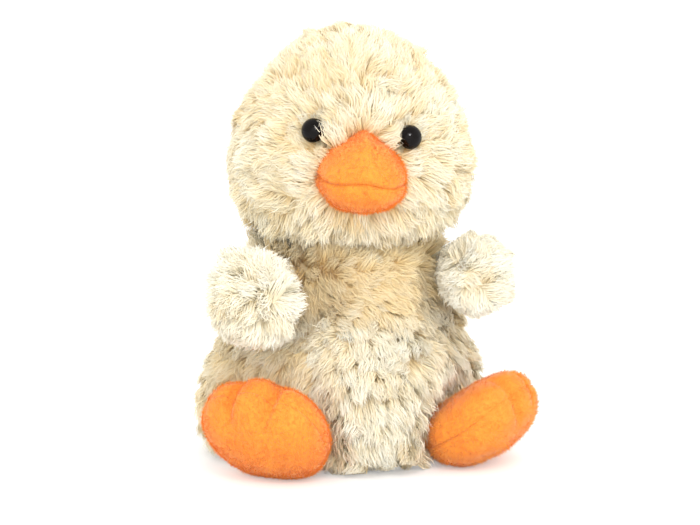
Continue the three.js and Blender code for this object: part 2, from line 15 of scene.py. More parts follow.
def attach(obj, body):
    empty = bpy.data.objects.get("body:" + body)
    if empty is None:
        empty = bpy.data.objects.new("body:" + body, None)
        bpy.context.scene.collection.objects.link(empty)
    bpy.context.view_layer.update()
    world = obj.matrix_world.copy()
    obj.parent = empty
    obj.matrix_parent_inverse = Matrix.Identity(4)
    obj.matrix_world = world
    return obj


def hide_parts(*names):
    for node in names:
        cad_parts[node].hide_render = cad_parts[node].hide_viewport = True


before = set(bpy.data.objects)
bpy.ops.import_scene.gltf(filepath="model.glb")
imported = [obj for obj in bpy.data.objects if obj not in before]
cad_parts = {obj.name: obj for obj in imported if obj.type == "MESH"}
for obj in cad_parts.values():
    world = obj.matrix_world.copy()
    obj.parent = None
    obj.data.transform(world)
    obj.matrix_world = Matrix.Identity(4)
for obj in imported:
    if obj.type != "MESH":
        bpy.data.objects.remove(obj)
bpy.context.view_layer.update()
bpy.context.scene.view_settings.view_transform = "Standard"
MM = 0.001

# Camera: what the photograph shows
PHOTO_SIZE = (700, 525)
AXIS_PIXEL = (345, 450.8)  # where the duckling's axis meets the floor
AZIMUTH, ELEVATION = -18, 9.5
CAMERA_DISTANCE = 0.9
LENS, SENSOR = 134, 36

# Light and floor
SKY_STRENGTH = 1.08
SUNS = [  # name, azimuth and elevation, strength, and how many degrees wide it is
    ("key", -8, 22, 0.3, 60), ("fill", -22, 3, 0.52, 60), ("left", 55, 6, 0.5, 90),
    ("right", -105, 15, 0.25, 90), ("back", 165, 22, 0.4, 90),
]
LAMP_DISTANCE = 0.8
FLOOR_REACH, FLOOR_SHADE, FLOOR_GLOW = 6, 0.86, 0.34

# Colours, as 0 to 255 numbers: of strands from root to tip, and of the rest from dark to light
# Pile strands run from a darker, warmer colour at the root to a pale one at the tip: painted shade low in
# the pile.
PALE_PILE = [(0, (252, 232, 180)), (0.35, (253, 241, 206)), (0.7, (254, 249, 228)), (1, (255, 254, 243))]
WARM_PILE = [(0, (236, 190, 110)), (0.35, (242, 207, 140)), (0.7, (246, 222, 168)), (1, (250, 233, 194))]
# The second plush colour is a darker orange: painted shade in seams and creases, and a darker tone at
# random over the nap.
PLUSH, PLUSH_DARK_TONE_AND_SEAM_SHADE = [(0, (251, 160, 56)), (1, (254, 180, 78))], (236, 142, 48)
EYES = [(0.3, (12, 9, 8)), (0.7, (20, 15, 13))]
WADDING = [(0.35, (222, 220, 214)), (0.65, (250, 249, 246))]
COTTON = [(0.35, (196, 184, 158)), (0.65, (226, 217, 196))]
WASHERS = (233, 231, 224)
MIX_A, MIX_B, MIX_RESULT = 6, 7, 2  # a mix node's sockets for colours

# Pile: how the shaggy cloth stands on its backing
BACKING_RISE = {"head": 3.2 * MM, "torso": 3.2 * MM, "wing": 2.2 * MM}  # above the stuffing
OUTSIDE_GAP = {"head": 3.5 * MM, "torso": 3.5 * MM, "wing": 3 * MM}  # from stuffing to outer skin
TAIL_PILE_DEPTH = 3.2 * MM
PILE_HEIGHT = 4.1 * MM  # on head and torso, where the CAD's locks aren't sunk
WING_PILE = {"left": (0.9, 0.85), "right": (1.55, 0.7)}  # height as a share of the CAD's, and lean
WING_COMB = {"left": ((0.8, 0.1, -0.4), 0.5), "right": ((-0.1, 0, -0.3), 1.0)}  # flow and spread
TAIL_PILE = (1.35, 0.55)
# The second number of each is painted light, lifting the roots' colour towards the tips'.
PILE_TINTS = {"head": (0.38, 0), "wing": (0.1, 0.6), "tail": (0.2, 0.1)}  # warmth and paleness
FLOOR_GAP, PILE_FLOOR_GAP = 0.15 * MM, 0.2 * MM
BELLY_FRONT, BELLY_CURVE, BELLY_RISE = 36 * MM, 14 * MM, 5 * MM  # where the belly leaves the floor

# Tufts: their size, and how much they differ
TUFT_SPACING, SPOTS_PER_TUFT = 3.0 * MM, 5
TUFT_REACH, TUFT_STRAY, TUFT_BOW = 1.05, 0.26, 0.8 * MM
TUFT_GATHER, WING_GATHER, GATHER_SPREAD = 0.18, 0.04, 0.15
LEAST_GATHER, MOST_GATHER = -0.3, 0.5
RISE_RANGE, LONGEST_RUN = (0.74, 1.18), 7 * MM
TILT_SPREAD, LEAST_TILT, MOST_TILT = 0.12, 0.15, 1.3
TIP_CLEARANCE, MIDDLE_CLEARANCE = 0.4 * MM, 0.2 * MM  # from the feet, the wings and the beak
TIP_SINK = 1.5 * MM  # how far below its lowest place a tip may be drawn and still be kept
CLUMP_SIZE = 11 * MM  # over which the pile changes its direction and tint
CLUMP_TINT, TUFT_TINT, STRAND_TINT = 0.25, 0.13, 0.07
BRIM_LEVEL, BRIM_SINK, BRIM_HEIGHT, BRIM_TILT = 7 * MM, 0.3 * MM, 5.5 * MM, 0.55

# Strands
STRANDS_PER_TUFT, STRAND_WIDTH = 120, 0.26 * MM
STRAND_FRIZZ, STRAND_ROLL = 0.48 * MM, 0.6
GROW_RANGE, GROW_SPREAD = (0.7, 1.06), 0.07
LOOSE_SHARE, LOOSE_REACH = 0.04, 1.25
PATH_SHARES = np.array([0, 0.66, 1.0])  # how far from root to tip a strand's three places lie
PATH_FRIZZ = np.array([0, 0.8, 1.6])
STRIP_SHARES = np.repeat(PATH_SHARES, (2, 2, 1))
STRIP_WIDTHS, WIDTH_RANGE = np.array([[0.8], [1.15]]), (0.7, 1.25)
STRIP_FACES = [(0, 1, 3, 2), (2, 3, 4)]
STRIP_POINTS = len(STRIP_SHARES)
# The backing shows between tufts, and takes part of the roots' painted shade.
BACKING_TONE = 0.4  # where the backing's colour lies, on the way from root to tip and to warm
BAKE_MARGIN = 0.02

# Head, as in the CAD
NECK_HEIGHT, NECK_SHIFT = 79 * MM, 1.8 * MM
HEAD_TURN = math.radians(-12)
HEAD_HALF_DEPTH, HEAD_HALF_HEIGHT = 38.5 * MM, 36 * MM
HEAD_CENTRE_HEIGHT, HEAD_LEAN = 32.5 * MM, 3 * MM
HEAD_TAPER, HEAD_FULLNESS = 0.24, 2.3

# Beak, as in the CAD
BEAK_HALF_WIDTH, BEAK_HALF_HEIGHT, BEAK_REACH = 14.8 * MM, 13.8 * MM, 20 * MM
BEAK_PROUD, BEAK_HEIGHT = 11.5 * MM, 23.6 * MM
BEAK_DROOP, BEAK_ROLL = math.radians(4), math.radians(3.5)
BEAK_FULLNESS = 2.5
MOUTH_DROP, LIP_SETBACK = 1.3 * MM, 0.8 * MM
# How wide the painted shade along the mouth is, and how far the mouth's wave reaches.
MOUTH_SHADE_WIDTH, MOUTH_WAVE_REACH = 0.5 * MM, 6 * MM
LIP_ROLL, LIP_ROLL_WIDTH = 0.45 * MM, 0.8 * MM
LIP_SWELL, LIP_SWELL_PLACE, LIP_SWELL_WIDTH = {"upper": 0.2 * MM, "lower": 0.6 * MM}, 4 * MM, 3.4 * MM
BEAK_LUMPS = [(0.3 * MM, 7 * MM), (0.1 * MM, 2 * MM), (0.06 * MM, 0.9 * MM)]  # depths and sizes
BEAK_AROUND, BEAK_ROWS = 220, 90
BEAK_OUTLINE = [
    (0, 0.98), (0.22, 0.86), (0.7, 0.5), (0.97, 0.12),
    (0.95, -0.32), (0.66, -0.78), (0.26, -0.93), (0, -0.95),
]

# Feet, as in the CAD
FOOT_HALF_LENGTH, FOOT_HALF_WIDTH, FOOT_HALF_THICKNESS = 20.5 * MM, 21.5 * MM, 12 * MM
FOOT_CURL, FOOT_DISTANCE, SEAT_FLAT = 3 * MM, 50.99 * MM, 0.5 * MM
FOOT_ANGLE = math.radians(47.5)
FOOT_TILT = {"left": math.radians(34), "right": math.radians(45)}
FOOT_FULLNESS = 2.5
TOE_NOTCH, TOE_PINCH, TOE_PINCH_START, TOE_PINCH_WIDTH = 0.34, 0.26, 0.5, 0.13
FOOT_OUTLINE = [
    (0, 1), (0.2, 0.95), (0.34, 0.8), (0.5, 0.87), (0.78, 0.76),
    (0.97, 0.42), (0.98, 0), (0.84, -0.46), (0.48, -0.88), (0, -1),
]
FOOT_MIDDLE = [  # the same outline without the toes, towards which they fade
    (0, 1), (0.2, 0.98), (0.36, 0.94), (0.56, 0.87), (0.8, 0.7),
    (0.97, 0.42), (0.98, 0), (0.84, -0.46), (0.48, -0.88), (0, -1),
]
FOOT_GROOVE, FOOT_GROOVE_WIDTH = 0.22 * MM, 0.9 * MM
PUCKERS, PUCKER_DEPTH, PUCKER_REACH = 46, 0.05 * MM, 2.6 * MM
TOE_GROOVE, TOE_GROOVE_WIDTH = 0.6 * MM, 0.07
FOOT_LUMPS = [(0.35 * MM, 9 * MM), (0.13 * MM, 2.2 * MM), (0.07 * MM, 0.9 * MM)]  # depths and sizes
FOOT_AROUND, FOOT_ROWS = 240, 48

# Short plush, of feet and beak
PLUSH_THICKNESS = 1.4 * MM
FUZZ_PER_MM2, FUZZ_LENGTH, FUZZ_WIDTH = 6, 1.5 * MM, 0.16 * MM
FUZZ_SHARES = [0.3, 0.3, 1.0]
FUZZ_RANGE, FUZZ_RISE, FUZZ_RUN = (0.6, 1.15), 0.62, 0.75
NAP_FLOW, NAP_PATCH, NAP_STRAY = np.array([0.25, -1.0, 0.0]), 5 * MM, 0.35
NAP_STREAKS = np.array([0.4, 0.4, 1.4])

# Eyes: a bead's facets, and how far off the pile keeps
EYE_AROUND, EYE_ROWS = 72, 24
EYE_SPOT_GAP, EYE_TIP_GAP = 4.3 * MM, 4.4 * MM

# Stuffing, whose forms are cut into cubes of this size and closed again
WAD_VOXEL = 1.2 * MM
WAD_LUMPS, BAG_LUMPS = 0.25 * MM, 0.3 * MM

SIDES = {"left": 1, "right": -1}


# Small helpers


def unit(vectors):
    return vectors / np.maximum(np.linalg.norm(vectors, axis=-1, keepdims=True), 1e-12)


def dots(a, b):
    return np.sum(a * b, axis=-1, keepdims=True)


def smoothstep(x, low, high):
    share = np.clip((x - low) / (high - low), 0, 1)
    return share * share * (3 - 2 * share)


def above(points, low, high):
    """0 below one height in mm, and 1 above another."""
    return smoothstep(points[:, 2], low * MM, high * MM)


def bell(x, width):
    """1 in the middle, fading to 0 past a width on either side."""
    return np.exp(-((x / width) ** 2))


def noise(points, size, seed):
    """Smooth noise from -1 to 1 whose lumps are about size across."""
    cell = np.asarray(points) / size
    base = np.floor(cell).astype(np.int64)
    share = smoothstep(cell - base, 0, 1)
    total = np.zeros(len(cell))
    for corner in itertools.product((0, 1), repeat=3):
        key = (base + corner) @ np.array([73856093, 19349663, 83492791]) + seed * 7919
        key = ((key ^ (key >> 13)) * 1274126177) & 0x7FFFFFFF
        value = ((key ^ (key >> 15)) & 0xFFFF) / 32767.5 - 1
        weight = np.where(corner, share, 1 - share).prod(1)
        total += value * weight
    return total


def noise_vectors(points, size, seed):
    return np.stack([noise(points, size, seed + axis) for axis in range(3)], 1)


def lumpy(points, lumps, seed):
    """Noise of several sizes, each with its own depth."""
    return sum(depth * noise(points, size, seed + k) for k, (depth, size) in enumerate(lumps))


def colour(shades):
    """A colour that is written as 0 to 255 numbers, as the linear one that shaders take."""
    shares = [shade / 255 for shade in shades]
    return tuple(c / 12.92 if c <= 0.04045 else ((c + 0.055) / 1.055) ** 2.4 for c in shares) + (1,)


def rotation(axis, angle):
    return np.array(Matrix.Rotation(angle, 3, axis))


def add_object(name, data):
    added = bpy.data.objects.new(name, data)
    bpy.context.collection.objects.link(added)
    return added


def add_node(tree, kind, inputs=(), **settings):
    """A shader node, whose inputs are given as values or as the outputs that feed them."""
    node = tree.nodes.new(f"ShaderNode{kind}")
    for name, value in settings.items():
        setattr(node, name, value)
    for place, value in dict(inputs).items():
        if isinstance(value, bpy.types.NodeSocket):
            tree.links.new(value, node.inputs[place])
        else:
            node.inputs[place].default_value = value
    return node


def stand_in(piece, body, node):
    """Ties a piece to its body, and hides the CAD node that it takes the place of."""
    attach(piece, body)
    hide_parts(node)


def add_piece(mesh, material, body, node):
    """Makes a piece of a mesh, with smooth shading."""
    mesh.materials.append(material)
    mesh.polygons.foreach_set("use_smooth", np.ones(len(mesh.polygons), bool))
    stand_in(add_object(mesh.name, mesh), body, node)


# Camera, floor and light


def towards(azimuth, elevation):
    """The direction of an azimuth, which is 0 in front, and an elevation, in degrees."""
    a, e = math.radians(azimuth), math.radians(elevation)
    return Vector((math.sin(a) * math.cos(e), -math.cos(a) * math.cos(e), math.sin(e)))


def build_camera():
    back, tilt = towards(AZIMUTH, ELEVATION), math.radians(ELEVATION)
    right = towards(AZIMUTH + 90, 0)
    pixel = CAMERA_DISTANCE * SENSOR / LENS / PHOTO_SIZE[0]
    aim = right * (PHOTO_SIZE[0] / 2 - AXIS_PIXEL[0]) * pixel
    aim.z = (AXIS_PIXEL[1] - PHOTO_SIZE[1] / 2) * pixel / math.cos(tilt)
    data = bpy.data.cameras.new("camera")
    data.lens, data.sensor_width = LENS, SENSOR
    data.clip_start, data.clip_end = 0.05, 20
    camera = add_object("camera", data)
    camera.location = aim + back * CAMERA_DISTANCE
    camera.rotation_mode = "QUATERNION"
    camera.rotation_quaternion = (-back).to_track_quat("-Z", "Y")
    bpy.context.scene.camera = camera


def add_lamp(name, data, azimuth, elevation):
    """A lamp that looks at the head from a direction."""
    lamp = add_object(name, data)
    lamp.location = Vector((0, 0, NECK_HEIGHT)) + towards(azimuth, elevation) * LAMP_DISTANCE
    lamp.rotation_mode = "QUATERNION"
    lamp.rotation_quaternion = towards(azimuth, elevation).to_track_quat("Z", "Y")
    return lamp


def add_sun(name, azimuth, elevation, strength, spread):
    data = bpy.data.lights.new(name, "SUN")
    data.energy, data.angle = strength, math.radians(spread)
    add_lamp(name, data, azimuth, elevation)


def add_softbox(name, azimuth, elevation, size, power):
    data = bpy.data.lights.new(name, "AREA")
    data.shape, data.size, data.size_y, data.energy = "RECTANGLE", *size, power
    return add_lamp(name, data, azimuth, elevation)


def plain_rays(tree):
    """1 for the rays that show the background: the camera's, and those in gloss and glass."""
    path = add_node(tree, "LightPath")
    seen = path.outputs["Is Camera Ray"]
    for kind in ("Is Glossy Ray", "Is Transmission Ray"):
        inputs = {0: seen, 1: path.outputs[kind]}
        seen = add_node(tree, "Math", inputs, operation="MAXIMUM").outputs[0]
    return seen


def build_light():
    world = bpy.data.worlds.new("studio")
    bpy.context.scene.world = world
    world.use_nodes = True
    tree = world.node_tree
    tree.nodes.clear()
    lit = {"Value": plain_rays(tree), "To Min": SKY_STRENGTH, "To Max": 1.0}
    strength = add_node(tree, "MapRange", lit).outputs["Result"]
    glow = add_node(tree, "Background", {"Color": (1, 1, 1, 1), "Strength": strength})
    add_node(tree, "OutputWorld", {"Surface": glow.outputs[0]})
    for lamp in SUNS:
        add_sun(*lamp)
    add_softbox("window", -6, 38, (0.4, 0.16), 1.3)
    catch_light = add_softbox("catch_light", -4, 30, (0.2, 0.14), 3.0)
    catch_light.visible_diffuse = False  # it only shows as the glint in the eyes


def build_floor():
    mesh = bpy.data.meshes.new("floor")
    r = FLOOR_REACH
    mesh.from_pydata([(-r, -r, 0), (r, -r, 0), (r, r, 0), (-r, r, 0)], [], [(0, 1, 2, 3)])
    floor = add_object("floor", mesh)
    material = bpy.data.materials.new("floor")
    material.use_nodes = True
    tree = material.node_tree
    tree.nodes.clear()
    matt = add_node(tree, "BsdfDiffuse", {"Color": (FLOOR_SHADE, FLOOR_SHADE, FLOOR_SHADE, 1)})
    seen = {0: plain_rays(tree), 1: FLOOR_GLOW}
    strength = add_node(tree, "Math", seen, operation="MULTIPLY").outputs[0]
    glow = add_node(tree, "Emission", {"Strength": strength})
    both = add_node(tree, "AddShader", {0: matt.outputs[0], 1: glow.outputs[0]})
    add_node(tree, "OutputMaterial", {"Surface": both.outputs[0]})
    mesh.materials.append(material)


# Materials


def new_material(name, roughness, **sockets):
    material = bpy.data.materials.new(name)
    material.use_nodes = True
    shader = material.node_tree.nodes["Principled BSDF"]
    shader.inputs["Roughness"].default_value = roughness
    for socket, value in sockets.items():
        shader.inputs[socket.replace("_", " ")].default_value = value
    return material, material.node_tree, shader


def ramp(tree, value, stops):
    """A colour that runs through stops as a value goes from 0 to 1."""
    blend = add_node(tree, "ValToRGB", {"Fac": value})
    elements = blend.color_ramp.elements
    while len(elements) < len(stops):
        elements.new(0.5)
    for element, (place, shade) in zip(elements, stops):
        element.position, element.color = place, colour(shade)
    return blend.outputs["Color"]


def strand_material(name, usual, other, roughness, **sockets):
    """Runs through the usual colours from root to tip, and by a strand's tint into the others."""
    material, tree, shader = new_material(name, roughness, **sockets)
    read = add_node(tree, "Attribute", attribute_name="strand")
    split = add_node(tree, "SeparateColor", {"Color": read.outputs["Color"]})
    along, tint = split.outputs["Red"], split.outputs["Green"]
    first = ramp(tree, along, usual)
    second = colour(other) if isinstance(other, tuple) else ramp(tree, along, other)
    mix = add_node(tree, "Mix", {"Factor": tint, MIX_A: first, MIX_B: second}, data_type="RGBA")
    tree.links.new(mix.outputs[MIX_RESULT], shader.inputs["Base Color"])
    return material


def pile_material():
    """Long pile, whose tufts are pale or warm."""
    return strand_material(
        "cream_pile", PALE_PILE, WARM_PILE, 0.85,
        Specular_IOR_Level=0.2, Sheen_Weight=0.25, Sheen_Roughness=0.6,
    )


def plush_material():
    """Short plush, with painted shade in its seams and creases, and a darker tone at random."""
    return strand_material(
        "orange_plush", PLUSH, PLUSH_DARK_TONE_AND_SEAM_SHADE, 0.75,
        Specular_IOR_Level=0.25, Sheen_Weight=0.35, Sheen_Roughness=0.45,
    )


def speckled(tree, shader, stops, scale, detail):
    """Colours a shader by noise, and returns the noise."""
    speckles = add_node(tree, "TexNoise", {"Scale": scale, "Detail": detail}).outputs["Fac"]
    tree.links.new(ramp(tree, speckles, stops), shader.inputs["Base Color"])
    return speckles


def eye_material():
    material, tree, shader = new_material("eye_gloss", 0.05, Specular_IOR_Level=0.13)
    speckled(tree, shader, EYES, 900, 2)
    return material


def fibre_material(name, stops, scale):
    material, tree, shader = new_material(name, 0.95, Specular_IOR_Level=0.1)
    fibres = speckled(tree, shader, stops, scale, 6)
    bump = add_node(tree, "Bump", {"Distance": 0.3 * MM, "Height": fibres})
    tree.links.new(bump.outputs["Normal"], shader.inputs["Normal"])
    return material


# Meshes


def node_triangles(name):
    """A CAD node's points, with those at one place merged, and its triangles."""
    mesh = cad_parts[name].data
    mesh.calc_loop_triangles()
    points = np.array([v.co for v in mesh.vertices])
    corners = np.array([t.vertices for t in mesh.loop_triangles])
    _, first, merged = np.unique(np.round(points / 1e-6), axis=0, return_index=True, return_inverse=True)
    corners = merged.reshape(-1)[corners]
    whole = (corners != np.roll(corners, 1, axis=1)).all(1)
    return points[first], corners[whole]


def both_halves(name, halves):
    return np.concatenate([node_triangles(f"{name}_{half}")[0] for half in halves])


def face_normals(points, corners):
    a, b, c = (points[corners[:, k]] for k in range(3))
    return np.cross(b - a, c - a)


def tree_of(points, corners):
    return BVHTree.FromPolygons([tuple(p) for p in points], [tuple(int(i) for i in c) for c in corners])


class Panel:
    """One CAD panel of pile cloth: its points, triangles, and which of them lie outside, and the
    ground on which the pile stands. Its brim is the cut face at the neck, which has pile too."""

    def __init__(self, name, is_outer, ground, brim_facing=0):
        self.name = name
        self.points, self.corners = node_triangles(name)
        normals = face_normals(self.points, self.corners)
        centres = self.points[self.corners].mean(1)
        self.outer = is_outer(self.points, self.corners, centres, unit(normals))
        self.normals = vertex_normals(self.points, self.corners[self.outer])
        moved = self.normals.any(1)
        self.ground = ground
        self.backing = self.points.copy()
        self.backing[moved] = ground(self.points[moved], self.normals[moved])[0]
        level = np.abs(centres[:, 2] - NECK_HEIGHT) < BRIM_LEVEL
        self.brim = level & ~self.outer & (unit(normals)[:, 2] * brim_facing > 0.9)
        self.areas = np.linalg.norm(normals, axis=1) / 2

    def scatter(self, which, spacing, rng):
        """Points spread evenly over some of the triangles, with the outward direction at each."""
        areas, picked = self.areas[which], self.corners[which]
        if len(areas) == 0:
            return np.zeros((0, 3)), np.zeros((0, 3))
        count = int(areas.sum() / spacing**2 * SPOTS_PER_TUFT)
        corners = picked[rng.choice(len(areas), count, p=areas / areas.sum())]
        weights = rng.dirichlet((1, 1, 1), count)[:, :, None]
        facing = unit((self.normals[corners] * weights).sum(1))
        if which is self.brim:
            facing[:] = unit(face_normals(self.points, corners).sum(0))
        return (self.points[corners] * weights).sum(1), facing

    def roots(self, spots, facing, brim):
        """Where tufts stand that reach to these spots, which way they rise and how high."""
        roots, heights = spots - facing * BRIM_SINK, np.full(len(spots), BRIM_HEIGHT)
        if (~brim).any():
            roots[~brim], away = self.ground(spots[~brim], facing[~brim])
            facing = facing.copy()
            facing[~brim] = away
            heights[~brim] = (np.linalg.norm(spots[~brim] - roots[~brim], axis=1) + PILE_HEIGHT) / 2
        return roots, facing, heights


def outside_of(stuffing, depth):
    """Says which triangles of a panel lie on the far side of its stuffing."""
    tree = tree_of(*node_triangles(stuffing))

    def is_outer(points, corners, centres, normals):
        far = np.array([tree.find_nearest(p)[3] > depth for p in points])
        away = np.array([np.array(c) - np.array(tree.find_nearest(c)[0]) for c in centres])
        return far[corners].all(1) & ((unit(away) * normals).sum(1) > 0.3)

    return is_outer


def ground_over(stuffing, rise):
    """The cloth's backing lies at a rise above the stuffing, and its pile stands square to it."""
    tree = tree_of(*node_triangles(stuffing))

    def ground(points, normals):
        nearest = np.array([tree.find_nearest(p)[0] for p in points]).reshape(-1, 3)
        away = unit(points - nearest)
        return nearest + away * rise, away

    return ground


def ground_below(depth):
    return lambda points, normals: (points - normals * depth, normals)


def panels_over(form, names, brim_facing=0):
    """The panels of the cloth that covers the stuffing of one form."""
    stuffing, kind = f"{form}_stuffing", form.split("_")[-1]
    is_outer = outside_of(stuffing, OUTSIDE_GAP[kind])
    ground = ground_over(stuffing, BACKING_RISE[kind])
    return [Panel(f"{form}_{name}", is_outer, ground, brim_facing) for name in names]


def thinned(points, spacing):
    """The numbers of the points that stay when none may be nearer to another than spacing."""
    kept, chosen = np.zeros((len(points), 3)), []
    for index, point in enumerate(points):
        gaps = np.linalg.norm(kept[: len(chosen)] - point, axis=1)
        if (gaps >= spacing).all():
            kept[len(chosen)] = point
            chosen.append(index)
    return np.array(chosen)


def ribbons(paths, outward, rng):
    """Tapered strips along paths of three points each, five points and two faces a strip."""
    count = len(paths)
    ahead = paths[:, 1:] - paths[:, :1]
    across = unit(np.cross(ahead, outward[:, None]))
    turned = unit(np.cross(unit(ahead), across))
    angle = rng.uniform(-STRAND_ROLL, STRAND_ROLL, count)[:, None, None]
    side = across * np.cos(angle) + turned * np.sin(angle)
    half = STRIP_WIDTHS * (STRAND_WIDTH * rng.uniform(*WIDTH_RANGE, count))[:, None, None] / 2
    points = np.empty((count, STRIP_POINTS, 3))
    points[:, 0:4:2] = paths[:, :2] - side * half
    points[:, 1:4:2] = paths[:, :2] + side * half
    points[:, 4] = paths[:, 2]
    return points.reshape(-1, 3)


def store_strands(mesh, values):
    """Stores what the materials read at each point: how far from root to tip it lies, and its tint."""
    values[:, 3] = 1
    mesh.attributes.new("strand", "FLOAT_COLOR", "POINT").data.foreach_set("color", values.ravel())


def pile_piece(panel, body, strips, tints, lifts):
    """One piece of pile cloth: a closed backing, and the strips that stand on it."""
    start = len(panel.backing)
    strip_count = len(strips) // STRIP_POINTS
    points = np.concatenate([panel.backing, strips]).astype(np.float32)
    firsts = start + STRIP_POINTS * np.arange(strip_count)[:, None]
    rows = np.concatenate([firsts + np.array(face) for face in STRIP_FACES], axis=1)
    loops = np.concatenate([panel.corners.reshape(-1), rows.reshape(-1)]).astype(np.int32)
    sizes = np.concatenate([np.full(len(panel.corners), 3), np.tile([4, 3], strip_count)])
    starts = np.concatenate([[0], np.cumsum(sizes)[:-1]]).astype(np.int32)
    mesh = bpy.data.meshes.new(f"{panel.name}_pile")
    mesh.vertices.add(len(points))
    mesh.vertices.foreach_set("co", points.ravel())
    mesh.loops.add(len(loops))
    mesh.loops.foreach_set("vertex_index", loops)
    mesh.polygons.add(len(sizes))
    mesh.polygons.foreach_set("loop_start", starts)
    mesh.update(calc_edges=True)
    values = np.zeros((len(points), 4), np.float32)
    values[:start, :2] = BACKING_TONE
    values[start:, 0] = (lifts[:, None] + (1 - lifts[:, None]) * STRIP_SHARES).ravel()
    values[start:, 1] = np.repeat(tints, STRIP_POINTS)
    store_strands(mesh, values)
    places = BAKE_MARGIN + (1 - 2 * BAKE_MARGIN) * values[loops][:, [1, 0]]
    layer = mesh.uv_layers.new(name="OFBake")
    layer.data.foreach_set("uv", places.astype(np.float32).ravel())
    add_piece(mesh, cream, body, panel.name)


def inside_any(points, trees, margin):
    """Whether each point lies inside one of the closed forms, or nearer to it than margin."""
    hit = np.zeros(len(points), bool)
    for tree, low, high in trees:
        near = ((points > low - margin) & (points < high + margin)).all(1)
        for index in np.flatnonzero(near):
            spot, normal, _, _ = tree.find_nearest(points[index])
            hit[index] |= (Vector(points[index]) - spot).dot(normal) < margin
    return hit


def drawn_spots(panels, rng):
    """Spots for tufts all over the panels of one form, which way each faces, the number of its
    panel, and whether it lies on the brim."""
    drawn = []
    for index, panel in enumerate(panels):
        for which in (panel.outer, panel.brim):
            points, normals = panel.scatter(which, TUFT_SPACING, rng)
            owner, brim = (np.full(len(points), value) for value in (index, which is panel.brim))
            drawn.append((points, normals, owner, brim))
    drawn = [np.concatenate(part) for part in zip(*drawn)]
    order = rng.permutation(len(drawn[0]))
    order = order[thinned(drawn[0][order], TUFT_SPACING)]
    return [part[order] for part in drawn]


def grow_pile(
    panels, body, comb, height, lean, warm, pale, obstacles, seed, keep=None, gather=TUFT_GATHER,
):
    """Covers the panels of one form with tufts and makes a piece of each panel. Comb, height, lean and warm
    give a tuft's direction, height, tilt and tint, where the torso's tint also carries painted shade and
    bounce light, and pale says how far a strand's root has its tip's colour, which is painted light that
    lifts the shade low in the pile."""
    rng = np.random.default_rng(seed)
    spots, facing, owner, brim = drawn_spots(panels, rng)
    count = len(spots)
    roots, tall = np.empty((count, 3)), np.empty(count)
    for index, panel in enumerate(panels):
        mine = owner == index
        roots[mine], facing[mine], tall[mine] = panel.roots(spots[mine], facing[mine], brim[mine])
    flow = comb(spots, facing)
    flow = np.where(brim[:, None], unit(spots * (1, 1, 0)) + 0.2 * unit(flow), flow)
    flow = unit(flow - facing * dots(flow, facing))
    side = np.cross(facing, flow)
    stray = rng.normal(0, TUFT_STRAY, count)[:, None]
    flow = flow * np.cos(stray) + side * np.sin(stray)
    side = np.cross(facing, flow)
    tilt = np.where(brim, BRIM_TILT, lean(spots, facing)) + rng.normal(0, TILT_SPREAD, count)
    tilt = np.clip(tilt, LEAST_TILT, MOST_TILT)
    rise = tall * np.where(brim, 1, height(spots, facing)) * rng.uniform(*RISE_RANGE, count)
    run = np.minimum(rise * np.tan(tilt), LONGEST_RUN)
    tips = roots + facing * rise[:, None] + flow * run[:, None]
    middles = roots + facing * (rise * 0.75)[:, None] + flow * (run * 0.4)[:, None]
    blocked = inside_any(tips, obstacles, TIP_CLEARANCE)
    held = ~(blocked | inside_any(middles, obstacles, MIDDLE_CLEARANCE))
    held &= (tips[:, 2] > lowest(tips) - TIP_SINK) | (tips[:, 1] > -BELLY_FRONT)
    if keep is not None:
        held &= keep(spots, tips)
    # The tint, which on the torso carries painted shade and painted bounce light.
    warmth_and_shade = warm(spots, facing) + CLUMP_TINT * noise(spots, CLUMP_SIZE, seed)
    warmth_and_shade = np.clip(warmth_and_shade + rng.normal(0, TUFT_TINT, count), 0, 1)
    for index, panel in enumerate(panels):
        mine = np.flatnonzero(held & (owner == index))
        drawn = (part[mine] for part in (roots, facing, flow, side, rise, run, warmth_and_shade))
        strips, tints = tuft_strips(*drawn, gather, rng)
        # Painted light: roots lifted towards the tips' colour.
        lifts = np.repeat(pale(spots[mine], facing[mine]), STRANDS_PER_TUFT)
        pile_piece(panel, body, strips, tints, lifts)


def lowest(points):
    """How low pile may hang: down to the floor, but not where the belly curves up in front."""
    ahead = -points[..., 1]
    return PILE_FLOOR_GAP + BELLY_RISE * smoothstep(ahead, BELLY_FRONT, BELLY_FRONT + BELLY_CURVE)


